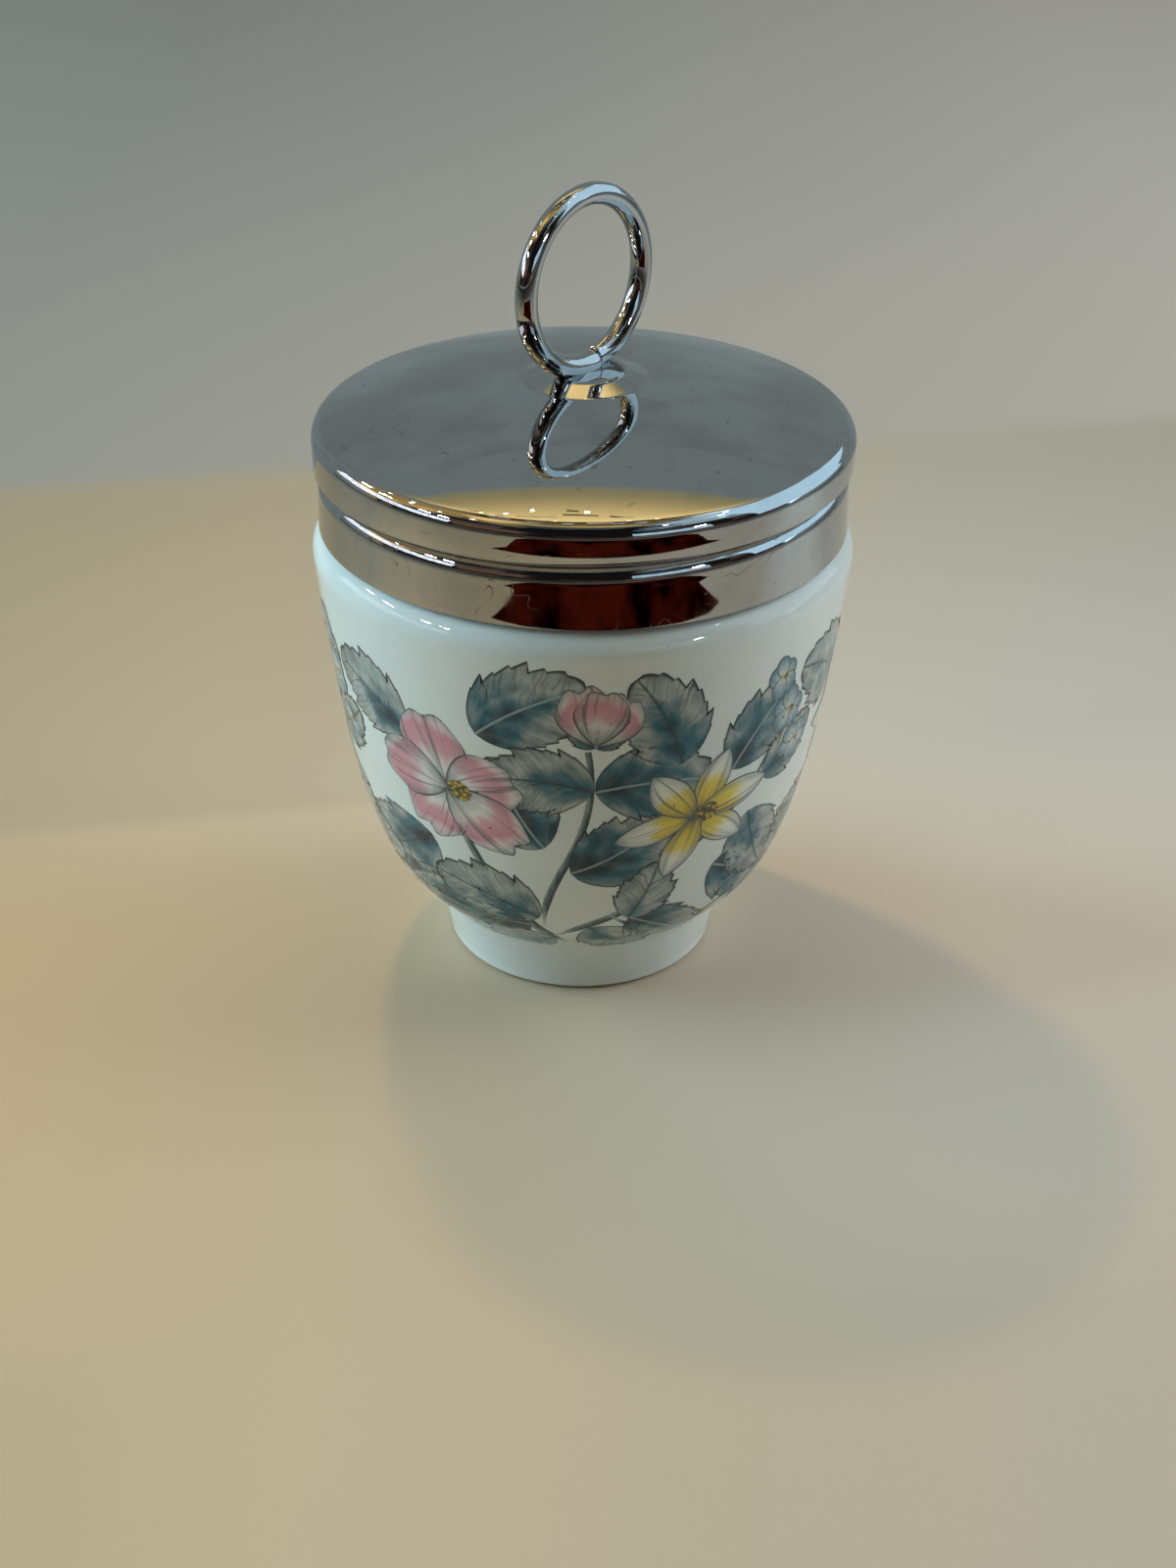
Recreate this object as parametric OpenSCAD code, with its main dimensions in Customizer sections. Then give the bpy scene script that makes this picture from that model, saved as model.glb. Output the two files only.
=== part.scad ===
// Porcelain egg coddler: a footed cup with a screw neck, closed by a pressed metal
// screw lid that carries an upright wire lifting ring.
// Origin: centre of the foot, on the surface it stands on. +Z runs up the screw axis,
// and the lifting ring lies in the XZ plane. All lengths are in millimetres.

/* [Cup] */
// Inside radius of the mouth
mouth_r = 26.8; // [22:0.1:34]
// Thickness of the neck's wall
neck_wall = 3.5; // [2.5:0.1:5]
// Height of the neck above the shoulder
neck_h = 11.3; // [10.5:0.1:14]
// Height of the shoulder above the table
shoulder_h = 59.3; // [50:0.1:80]
// How far the shoulder stands out past the neck
shoulder_w = 3.1; // [2:0.1:6]
// Rounding of the shoulder's edge
shoulder_round = 3.1; // [1:0.1:6]
// Wall of the belly at its widest
belly_wall = 4.4; // [3:0.1:6]
// Thickness of the floor over the recess in the base
floor_t = 4.5; // [3:0.1:8]
// Rounding of the two edges of the rim
rim_round = 0.8; // [0.3:0.1:1.2]

/* [Foot] */
// Outer radius of the foot at its lower edge
foot_r = 17.5; // [14:0.1:22]
// How far the foot flares out towards its top
foot_flare = 1.6; // [0.4:0.1:3]
// Height of the foot
foot_h = 7.8; // [5:0.1:12]
// Rounding of the foot's lower edge
foot_round = 1.1; // [0.5:0.1:1.8]
// Width of the flat ring that the cup stands on
foot_land = 2.1; // [1:0.1:4]
// Depth of the recess inside the foot ring
foot_recess = 3.2; // [1:0.1:5]

/* [Lid] */
// Thickness of the lid's sheet metal
sheet = 0.5; // [0.4:0.05:0.8]
// Gap between the lid's lower edge and the shoulder
edge_gap = 0.3; // [0.2:0.05:1]
// Gap between the crest of the cup's thread and the lid's skirt
skirt_gap = 0.7; // [0.4:0.05:1.2]
// How much wider the skirt is at its top than at its lower edge
skirt_taper = 0.4; // [0:0.05:0.8]
// Outside radius of the corner between the skirt and the crown
corner_r = 2; // [1:0.1:3]
// Radius of the crown's dome
crown_r = 100; // [80:1:200]
// Radius of the pressed pad under the ring, at its base
pad_r = 7.7; // [6:0.1:10]
// Radius of the flat top of the pad
pad_flat_r = 5.3; // [3:0.1:6]
// Height of the pad above the crown at its base
pad_h = 0.44; // [0.2:0.02:0.8]

/* [Thread] */
// Rise of the thread in one turn
pitch = 2.6; // [2.5:0.05:3.2]
// How far the cup's thread stands out from the neck
ridge_h = 1.05; // [0.8:0.05:1.4]
// Width of the crest of the cup's thread
ridge_crest = 0.4; // [0.2:0.05:0.5]
// Width of each sloping flank of the cup's thread
ridge_flank = 0.45; // [0.3:0.05:0.6]
// Turns of thread on the cup
ridge_turns = 1; // [0.75:0.05:1]
// Gap between the crest of the lid's rolled thread and the neck
bead_gap = 0.6; // [0.3:0.05:0.7]
// Width of the bottom of the groove rolled into the lid
groove_flat = 0.6; // [0.4:0.05:0.7]
// Width of the groove's steep upper flank
groove_upper = 0.45; // [0.3:0.05:0.6]
// Height of the rounded shoulder under the groove
groove_lower = 1.8; // [1.2:0.05:1.9]
// Turns of thread rolled into the lid
groove_turns = 0.84; // [0.6:0.02:0.9]
// Height of the groove's first end above the lid's lower edge
groove_start_h = 6.2; // [5.5:0.1:7]
// Direction of the groove's first end, seen from above
groove_start_a = 71; // [0:1:359]
// How far the cup's thread starts ahead of the groove
thread_lead_a = 50; // [20:1:60]
// Length of the run-out at each end of the threads
runout_a = 18; // [10:1:30]
// Play between the flanks of the two threads
thread_gap = 0.2; // [0.15:0.01:0.25]

/* [Lifting ring] */
// Thickness of the ring's wire
wire_d = 2.65; // [2:0.05:3.5]
// Inside radius of the ring
ring_in_r = 8.87; // [8:0.05:14]
// Gap where the ends of the wire meet
ring_seam = 0.2; // [0.1:0.05:0.4]
// Direction of that seam, from the ring's lowest point
ring_seam_a = 10; // [6:1:30]
// Depth of the welded flat under the ring
weld_flat = 0.15; // [0.05:0.01:0.3]

/* [Sealing ring] */
// Thickness of the sealing ring
seal_t = 1.1; // [0.8:0.05:1.5]
// Chamfer of the sealing ring's upper edges
seal_chamfer = 0.4; // [0.2:0.05:0.5]
// Running gap between the sealing ring and the lid
seal_gap = 0.3; // [0.2:0.05:0.5]
// Overhang of the sealing ring inside the mouth's rim
seal_lap = 0.6; // [0.2:0.05:1.5]

/* [Hidden] */

$fn = 96;
curve_steps = 18;
arc_steps = 6;
sweep_step_a = 4;
round_end_a = 70;
overlap = 0.4;

// Cup, from the mouth outwards
neck_r = mouth_r + neck_wall;
cup_r = neck_r + shoulder_w;
rim_z = shoulder_h + neck_h;
floor_z = foot_recess + floor_t;
shoulder_fillet = min(shoulder_round, shoulder_w);

// Threads: the lid's bead passes under the cup's ridge, and both follow one helix
ridge_r = neck_r + ridge_h;
bead_r = neck_r + bead_gap;
skirt_in_r = ridge_r + skirt_gap;
bead_crest = groove_flat + 0.8 * sheet;
bead_upper = groove_upper + 0.2 * sheet;
bead_lower = groove_lower - 0.6 * sheet;
bead_base_r = skirt_in_r + (skirt_taper + sheet) / 2;
bead_slope = bead_upper / (bead_base_r - bead_r);
ridge_rise = bead_crest / 2 + bead_slope * (ridge_r - bead_r) + thread_gap + ridge_crest / 2;
ridge_start_a = groove_start_a - thread_lead_a;

// Lid, stacked on the rim and the sealing ring
edge_z = shoulder_h + edge_gap;
crown_z = rim_z + seal_t + seal_gap + sheet;
skirt_out_r = skirt_in_r + skirt_taper + sheet;
corner_centre = [skirt_out_r - corner_r, crown_z - corner_r];
crown_centre_z = corner_centre.y - sqrt(pow(crown_r - corner_r, 2) - pow(corner_centre.x, 2));
crown_edge_a = acos(corner_centre.x / (crown_r - corner_r));
crown_edge_r = crown_r * cos(crown_edge_a);
pad_z = crown_height(pad_r, crown_r) + pad_h;
groove_z = edge_z + groove_start_h;
ridge_z = groove_z + ridge_rise - pitch * thread_lead_a / 360;

// Lifting ring, standing on the pad
ring_r = ring_in_r + wire_d / 2;
ring_z = pad_z + ring_r + wire_d / 2 - weld_flat;
seam_a = 2 * asin(ring_seam / 2 / ring_r);

function crown_height(r, dome_r) = crown_centre_z + sqrt(dome_r * dome_r - r * r);

function arc(centre, r, from_a, to_a) = [
    for (i = [0:arc_steps])
        let (a = from_a + (to_a - from_a) * i / arc_steps)
            centre + r * [cos(a), sin(a)]
];

function curve(p0, p1, p2, p3) = [
    for (i = [1:curve_steps - 1])
        let (t = i / curve_steps, s = 1 - t)
            s * s * s * p0 + 3 * s * s * t * p1 + 3 * s * t * t * p2 + t * t * t * p3
];

function reversed(list) = [for (i = [len(list) - 1:-1:0]) list[i]];

// A point that lies at given shares of the way across and up from one point to another
function between(from, to, shares) = [
    from.x + (to.x - from.x) * shares.x,
    from.y + (to.y - from.y) * shares.y
];

// Outer wall of the belly, from the top of the foot to the shoulder
function belly_outline() =
    let (
        low = [foot_r + foot_flare, foot_h],
        turn = [cup_r - shoulder_fillet, shoulder_h - shoulder_fillet],
        lean_a = -6,
        high = turn + shoulder_fillet * [cos(lean_a), sin(lean_a)]
    )
    concat(
        [low],
        curve(low, between(low, high, [0.39, 0.13]), between(low, high, [0.68, 0.12]), high),
        arc(turn, shoulder_fillet, lean_a, 90)
    );

// Inner wall, from the neck down to the middle of the floor
function cavity_outline() =
    let (
        neck_low = [mouth_r, shoulder_h + 2],
        wide = [cup_r - belly_wall, shoulder_h - 8],
        flat = [foot_r - 9, floor_z]
    )
    concat(
        [neck_low],
        curve(neck_low, neck_low - [0, 4.5], wide + [0.5, 3.5], wide),
        [wide],
        curve(wide, between(flat, wide, [0.77, 0.14]), between(flat, wide, [0.54, 0]), flat),
        [flat, [0, floor_z]]
    );

function foot_outline() =
    let (
        land_out = foot_r - foot_round,
        land_in = land_out - foot_land,
        draft = 0.5,
        inner_round = min(foot_recess, land_in) / 3
    )
    concat(
        [[0, foot_recess]],
        arc([land_in - draft - inner_round, foot_recess - inner_round], inner_round, 90, 0),
        [[land_in, 0]],
        arc([land_out, foot_round], foot_round, -90, 0)
    );

function rim_outline() = concat(
    arc([neck_r - rim_round, rim_z - rim_round], rim_round, 0, 90),
    arc([mouth_r + rim_round, rim_z - rim_round], rim_round, 90, 180)
);

// One cross-section of a thread: a crest between two flanks that run back to base_r.
// The lower flank is straight, or where it has a round_w it is a rounded shoulder
function thread_section(crest_r, base_r, crest, upper, lower, round_w) = concat(
    [
        [base_r, crest / 2 + upper],
        [crest_r, crest / 2],
        [crest_r, -crest / 2]
    ],
    [
        if (round_w > 0)
            for (i = [1:arc_steps])
                let (a = round_end_a * i / arc_steps)
                    [crest_r + round_w * sin(a), -crest / 2 - lower * (1 - cos(a))]
    ],
    [[base_r, -crest / 2 - lower]]
);

// A thread swept along the helix, which rises out of base_r and sinks back at its ends
module thread(crest_r, base_r, crest, upper, lower, start_z, start_a, turns, round_w = 0) {
    steps = round(turns * 360 / sweep_step_a);
    sunk_r = base_r + (crest_r - base_r) * 0.05;
    sections = [
        for (i = [0:steps])
            let (
                a = turns * 360 * i / steps,
                depth = min(1, a / runout_a, (turns * 360 - a) / runout_a),
                now_r = sunk_r + (crest_r - sunk_r) * depth,
                share = (now_r - base_r) / (crest_r - base_r)
            )
            [
                for (p = thread_section(now_r, base_r, crest, upper * share, lower * share,
                    round_w * share))
                    [
                        p.x * cos(start_a + a),
                        p.x * sin(start_a + a),
                        p.y + start_z + pitch * a / 360
                    ]
            ]
    ];
    n = len(sections[0]);
    outward = crest_r > base_r;
    faces = concat(
        [[for (j = [0:n - 1]) j]],
        [for (i = [0:steps - 1], j = [0:n - 1])
            [i * n + j, (i + 1) * n + j, (i + 1) * n + (j + 1) % n]],
        [for (i = [0:steps - 1], j = [0:n - 1])
            [i * n + j, (i + 1) * n + (j + 1) % n, i * n + (j + 1) % n]],
        [[for (j = [n - 1:-1:0]) steps * n + j]]
    );
    polyhedron(
        [for (section = sections) each section],
        outward ? faces : [for (f = faces) reversed(f)]
    );
}

module porcelain_cup() {
    color("white") {
        rotate_extrude()
            polygon(concat(
                foot_outline(),
                belly_outline(),
                [[neck_r, shoulder_h]],
                rim_outline(),
                cavity_outline()
            ));
        thread(ridge_r, neck_r - overlap, ridge_crest, ridge_flank * 1.4, ridge_flank * 1.4,
            ridge_z, ridge_start_a, ridge_turns);
    }
}

// A soft flat ring that the lid presses on the rim
module sealing_ring() {
    seal_out_r = neck_r + 1.4;
    seal_in_r = mouth_r - seal_lap;
    color("dimgray")
        rotate_extrude()
            polygon([
                [seal_in_r, rim_z],
                [seal_out_r, rim_z],
                [seal_out_r, rim_z + seal_t - seal_chamfer],
                [seal_out_r - seal_chamfer, rim_z + seal_t],
                [seal_in_r + seal_chamfer, rim_z + seal_t],
                [seal_in_r, rim_z + seal_t - seal_chamfer]
            ]);
}

// Outline of one face of the lid's sheet, set in from the outer face
function lid_outline(inset) = concat(
    [[skirt_out_r - skirt_taper - inset, edge_z]],
    arc(corner_centre, corner_r - inset, 0, crown_edge_a),
    [for (i = [1:curve_steps])
        let (
            edge_r = crown_edge_r - inset * cos(crown_edge_a),
            r = edge_r + (pad_r - edge_r) * i / curve_steps
        )
            [r, crown_height(r, crown_r - inset)]],
    [for (i = [1:arc_steps])
        let (t = i / arc_steps, base_z = crown_height(pad_r, crown_r - inset))
            [
                pad_r + (pad_flat_r - pad_r) * t,
                base_z + (pad_z - inset - base_z) * t * t * (3 - 2 * t)
            ]],
    [[0, pad_z - inset]]
);

module lid_shell() {
    groove_far_r = skirt_out_r + overlap;
    groove_r = bead_r + sheet;
    shoulder_in = skirt_out_r - groove_r;
    flank_scale = (groove_far_r - groove_r) / (skirt_out_r - groove_r);
    color("silver")
        difference() {
            union() {
                rotate_extrude()
                    polygon(concat(lid_outline(0), reversed(lid_outline(sheet))));
                thread(bead_r, bead_base_r, bead_crest, bead_upper, bead_lower,
                    groove_z, groove_start_a, groove_turns, shoulder_in);
            }
            thread(groove_r, groove_far_r, groove_flat,
                groove_upper * flank_scale, groove_lower,
                groove_z, groove_start_a, groove_turns, shoulder_in);
        }
}

module lifting_ring() {
    color("silver")
        difference() {
            translate([0, 0, ring_z])
                rotate([90, 0, 0])
                    rotate([0, 0, ring_seam_a - 90 + seam_a / 2])
                        rotate_extrude(angle = 360 - seam_a)
                            translate([ring_r, 0])
                                circle(d = wire_d, $fn = 48);
            translate([-ring_r, -wire_d, pad_z - wire_d])
                cube([2 * ring_r, 2 * wire_d, wire_d]);
        }
}

porcelain_cup();
sealing_ring();
lid_shell();
lifting_ring();
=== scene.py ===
import bisect
import math
import random

import bmesh
import bpy
from mathutils import Matrix, Vector


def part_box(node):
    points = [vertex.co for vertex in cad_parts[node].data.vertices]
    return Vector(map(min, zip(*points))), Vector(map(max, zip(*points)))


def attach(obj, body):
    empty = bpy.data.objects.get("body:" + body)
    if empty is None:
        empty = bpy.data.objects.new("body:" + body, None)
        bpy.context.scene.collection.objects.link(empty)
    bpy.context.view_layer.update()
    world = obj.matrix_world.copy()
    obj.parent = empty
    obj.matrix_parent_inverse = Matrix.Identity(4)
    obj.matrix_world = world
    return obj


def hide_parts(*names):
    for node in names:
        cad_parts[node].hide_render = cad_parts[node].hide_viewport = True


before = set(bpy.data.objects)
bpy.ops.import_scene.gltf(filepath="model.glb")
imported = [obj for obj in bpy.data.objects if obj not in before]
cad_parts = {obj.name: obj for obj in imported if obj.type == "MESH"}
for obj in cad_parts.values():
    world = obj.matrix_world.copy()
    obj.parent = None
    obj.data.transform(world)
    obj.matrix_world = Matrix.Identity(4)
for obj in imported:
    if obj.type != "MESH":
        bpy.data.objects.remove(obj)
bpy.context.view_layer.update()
mm = 0.001  # sizes below are in millimetres, Blender's are in metres
scene = bpy.context.scene
scene.view_settings.view_transform = "Standard"

# the rest of the script measures from these corners of the CAD pieces
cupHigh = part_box("porcelain_cup")[1]
lidLow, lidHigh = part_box("lid_shell")
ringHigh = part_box("lifting_ring")[1]
rimZ = cupHigh[2] / mm
widestR = cupHigh[0] / mm
edgeZ = lidLow[2] / mm
padZ = lidHigh[2] / mm


def hexColour(code):  # sRGB hex to the linear colour that Blender wants
    parts = [int(code[i:i + 2], 16) / 255 for i in (1, 3, 5)]
    return tuple(c / 12.92 if c <= 0.04045 else ((c + 0.055) / 1.055) ** 2.4 for c in parts) + (1.0,)


def setStops(points, stops):  # stops are (place, hex colour or grey)
    while len(points) < len(stops):
        points.new(0.5)
    for point, (place, colour) in zip(points, stops):
        point.position = place
        point.color = hexColour(colour) if isinstance(colour, str) else (colour, colour, colour, 1)


def addNode(tree, kind, sockets={}, **settings):  # one node, with its settings and links
    made = tree.nodes.new("ShaderNode" + kind)
    for name, value in settings.items():
        if name == "stops":
            setStops(made.color_ramp.elements, value)
        else:
            setattr(made, name, value)
    for name, value in sockets.items():
        if isinstance(value, bpy.types.Node):  # a node stands for its first output
            value = value.outputs[0]
        if isinstance(value, bpy.types.NodeSocket):
            tree.links.new(value, made.inputs[name])
        else:
            made.inputs[name].default_value = hexColour(value) if isinstance(value, str) else value
    return made


def newMaterial(name):
    made = bpy.data.materials.new(name)
    made.use_nodes = True
    made.node_tree.nodes.clear()
    return made, made.node_tree


def finishMaterial(tree, sockets):
    addNode(tree, "OutputMaterial", {0: addNode(tree, "BsdfPrincipled", sockets)})


def layOver(tree, under, *layers):  # colours over one another, each where its mask is 1
    for mask, over in layers:
        under = addNode(tree, "Mix", {0: mask, 6: under, 7: over}, data_type="RGBA").outputs[2]
    return under


def arcPoints(centre, radius, fromDeg, toDeg, steps):
    turns = [math.radians(fromDeg + (toDeg - fromDeg) * i / steps) for i in range(steps + 1)]
    return [Vector((centre[0] + radius * math.cos(a), centre[1] + radius * math.sin(a))) for a in turns]


def bezierAt(handles, t):
    p0, p1, p2, p3 = handles
    s = 1 - t
    return s**3 * p0 + 3 * s * s * t * p1 + 3 * s * t * t * p2 + t**3 * p3


def bezierPoints(handles, steps):
    handles = [Vector(p) for p in handles]
    return [bezierAt(handles, i / steps) for i in range(steps + 1)]


def linePoints(start, end, steps):
    return [Vector(start).lerp(Vector(end), i / steps) for i in range(steps + 1)]


def shares(start, end, across, up):  # a point at these shares of the way from start to end
    return Vector((start[0] + (end[0] - start[0]) * across, start[1] + (end[1] - start[1]) * up))


def smooth(edge0, edge1, x):
    t = min(1, max(0, (x - edge0) / (edge1 - edge0)))
    return t * t * (3 - 2 * t)


def spinProfile(points, steps):  # turns a profile of (radius, height) round the screw axis
    bm = bmesh.new()
    kept = [p for i, p in enumerate(points) if i == 0 or (p - points[i - 1]).length > 1e-4]
    chain = [bm.verts.new((p[0] * mm, 0, p[1] * mm)) for p in kept]
    edges = [bm.edges.new(pair) for pair in zip(chain, chain[1:])]
    bmesh.ops.spin(bm, geom=chain + edges, cent=(0, 0, 0), axis=(0, 0, 1), angle=math.tau,
                   steps=steps, use_merge=True)
    bmesh.ops.remove_doubles(bm, verts=bm.verts, dist=1e-6)
    bmesh.ops.recalc_face_normals(bm, faces=bm.faces)
    return bm


def addObject(name, data):
    made = bpy.data.objects.new(name, data)
    scene.collection.objects.link(made)
    return made


def finishMesh(bm, name, materials, smoothShade=True):
    data = bpy.data.meshes.new(name)
    bm.to_mesh(data)
    bm.free()
    piece = addObject(name, data)
    for material in materials:
        data.materials.append(material)
    for face in data.polygons:
        face.use_smooth = smoothShade
    return piece


# camera, solved from the photograph
camera = {
    "lens": 54.0, "sensor": 36.0,  # the vertical field of view is 36.9 degrees
    "distance": 267.4, "height": 177.6,  # from the screw axis and above the table
    "turn": 48.9,  # the ring's plane, seen from the camera
    "pitch": 30.40, "yaw": 0.20, "roll": 0.57,
}


def fromCamera(right, back, up):  # a place in the photograph's directions, in mm
    return Matrix.Rotation(-math.radians(camera["turn"]), 3, "Z") @ Vector((right, back, up)) * mm


def makeCamera():
    data = bpy.data.cameras.new("photoCamera")
    data.lens = camera["lens"]
    data.sensor_fit = "VERTICAL"
    data.sensor_height = camera["sensor"]
    data.clip_start = 0.01
    made = addObject("photoCamera", data)
    pitch, yaw, roll = (math.radians(camera[k]) for k in ("pitch", "yaw", "roll"))
    forward = Vector((math.sin(yaw) * math.cos(pitch), math.cos(yaw) * math.cos(pitch), -math.sin(pitch)))
    right = Vector((math.cos(yaw), -math.sin(yaw), 0))
    up = right.cross(forward)
    rightRolled = math.cos(roll) * right + math.sin(roll) * up
    upRolled = math.cos(roll) * up - math.sin(roll) * right
    turned = Matrix((rightRolled, upRolled, -forward)).transposed()
    spin = Matrix.Rotation(-math.radians(camera["turn"]), 3, "Z")
    made.matrix_world = (spin @ turned).to_4x4()
    made.location = fromCamera(0, -camera["distance"], camera["height"])
    scene.camera = made


makeCamera()
print("camera set")


# cup, one body of glazed porcelain
cup = {
    "mouthR": 26.8, "neckR": 30.3, "shoulderZ": 59.3, "shoulderRound": 3.1, "lean": -6,
    "rimRound": 0.8, "bellyWall": 4.4, "floorZ": 7.7, "floorR": 8.5,
    "bellyHandles": ((0.39, 0.13), (0.68, 0.12)), "insideHandles": ((0.77, 0.14), (0.54, 0)),
    "footR": 17.5, "footFlare": 1.6, "footH": 7.8, "footRound": 1.1,
    "land": 2.1, "landRound": 0.25, "recess": 3.2, "recessRound": 1.0, "recessLean": 0.5,
    "threadStart": 21, "threadZ": 66.494, "pitch": 2.6, "threadH": 1.05, "threadHalf": 0.83,
    "threadFrom": 62, "runOut": 18, "steps": 256,
}


def bellyProfile():  # outer wall from the foot's top to the neck
    c = cup
    low = Vector((c["footR"] + c["footFlare"], c["footH"]))
    centre = (widestR - c["shoulderRound"], c["shoulderZ"] - c["shoulderRound"])
    turn = arcPoints(centre, c["shoulderRound"], c["lean"], 90, 12)
    high = turn[0]
    handles = [shares(low, high, *share) for share in c["bellyHandles"]]
    return bezierPoints((low, *handles, high), 60) + turn[1:]


def cupProfile():
    c = cup
    landOut = c["footR"] - c["footRound"]
    landIn = landOut - c["land"]
    inner = (landIn - c["recessLean"] - c["recessRound"], c["recess"] - c["recessRound"])
    foot = [Vector((0, c["recess"]))] + linePoints((3, c["recess"]), (inner[0] - 1, c["recess"]), 3)
    foot += arcPoints(inner, c["recessRound"], 90, 0, 6)
    foot += [Vector((landIn, c["landRound"])), Vector((landIn + c["landRound"], 0))]
    foot += linePoints((landIn + 0.4, 0), (landOut, 0), 2)
    foot += arcPoints((landOut, c["footRound"]), c["footRound"], -90, 0, 10)
    foot += linePoints((c["footR"] + 0.05, 1.6), (c["footR"] + c["footFlare"] - 0.15, c["footH"] - 0.75), 8)
    belly = bellyProfile()
    neck = linePoints((c["neckR"] + 0.05, c["shoulderZ"] + 0.05), (c["neckR"], c["threadFrom"]), 5)
    neck += linePoints((c["neckR"], c["threadFrom"] + 0.1), (c["neckR"], rimZ - c["rimRound"]), 56)
    rim = arcPoints((c["neckR"] - c["rimRound"], rimZ - c["rimRound"]), c["rimRound"], 0, 90, 6)
    rim += arcPoints((c["mouthR"] + c["rimRound"], rimZ - c["rimRound"]), c["rimRound"], 90, 180, 6)
    neckLow = Vector((c["mouthR"], c["shoulderZ"] + 2))
    wide = Vector((widestR - c["bellyWall"], c["shoulderZ"] - 8))
    flat = Vector((c["floorR"], c["floorZ"]))
    inside = bezierPoints((neckLow, neckLow - Vector((0, 4.5)), wide + Vector((0.5, 3.5)), wide), 12)
    handles = [shares(flat, wide, *share) for share in c["insideHandles"]]
    inside += bezierPoints((wide, *handles, flat), 30)[1:]
    inside += linePoints((6, c["floorZ"]), (0, c["floorZ"]), 3)
    return foot + belly + neck + rim + inside


def raiseThread(bm):  # the screw thread of the neck, pushed out along its helix
    c = cup
    for vert in bm.verts:
        radius = math.hypot(vert.co.x, vert.co.y) / mm
        height = vert.co.z / mm
        if abs(radius - c["neckR"]) > 0.02 or height < c["threadFrom"] or height > rimZ - c["rimRound"]:
            continue
        around = (math.degrees(math.atan2(vert.co.y, vert.co.x)) - c["threadStart"]) % 360
        crest = c["threadZ"] + c["pitch"] * around / 360
        runOut = smooth(0, c["runOut"], around) * smooth(0, c["runOut"], 360 - around)
        out = c["threadH"] * smooth(c["threadHalf"], 0.15, abs(height - crest)) * runOut
        vert.co.xy *= (radius + out) / radius


def glazedPorcelain():
    # bone porcelain under a fired clear glaze: cool white, deep gloss, a faint ripple in the glaze
    material, tree = newMaterial("glazedPorcelain")
    place = addNode(tree, "TexCoord").outputs["Object"]
    cloud = addNode(tree, "TexNoise", {"Vector": place, "Scale": 60.0, "Detail": 3.0})  # 17 mm clouds
    body = addNode(tree, "ValToRGB", {0: cloud}, stops=[(0.3, "#dde6e6"), (0.7, "#e6ecea")])
    specks = addNode(tree, "TexNoise", {"Vector": place, "Scale": 1800.0, "Detail": 1.0})  # 0.5 mm pinholes
    speckMask = addNode(tree, "MapRange", {0: specks, 1: 0.80, 2: 0.84})
    height = addNode(tree, "SeparateXYZ", {0: place}).outputs["Z"]
    land = addNode(tree, "MapRange", {0: height, 1: 0.05 * mm, 2: 0.4 * mm, 3: 1.0, 4: 0.0})  # wiped dry
    colour = layOver(tree, body, (speckMask, "#b9bcb6"), (land, "#cfc8bb"))
    polish = addNode(tree, "MapRange", {0: cloud, 1: 0.3, 2: 0.7, 3: 0.015, 4: 0.035})
    rough = addNode(tree, "Mix", {0: land, 2: polish, 3: 0.75})
    ripple = addNode(tree, "TexNoise", {"Vector": place, "Scale": 170.0, "Detail": 2.0})  # 6 mm ripple
    bump = addNode(tree, "Bump", {"Height": ripple, "Strength": 0.25, "Distance": 0.05 * mm})
    finishMaterial(tree, {"Base Color": colour, "Roughness": rough, "Normal": bump, "IOR": 1.5,
                          "Subsurface Weight": 0.12, "Subsurface Scale": 1.5 * mm})
    return material


def makeCup():
    bm = spinProfile(cupProfile(), cup["steps"])
    raiseThread(bm)
    piece = finishMesh(bm, "porcelainCup", [glazedPorcelain()])
    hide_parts("porcelain_cup")
    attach(piece, "cup")


makeCup()
print("cup made")


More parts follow.
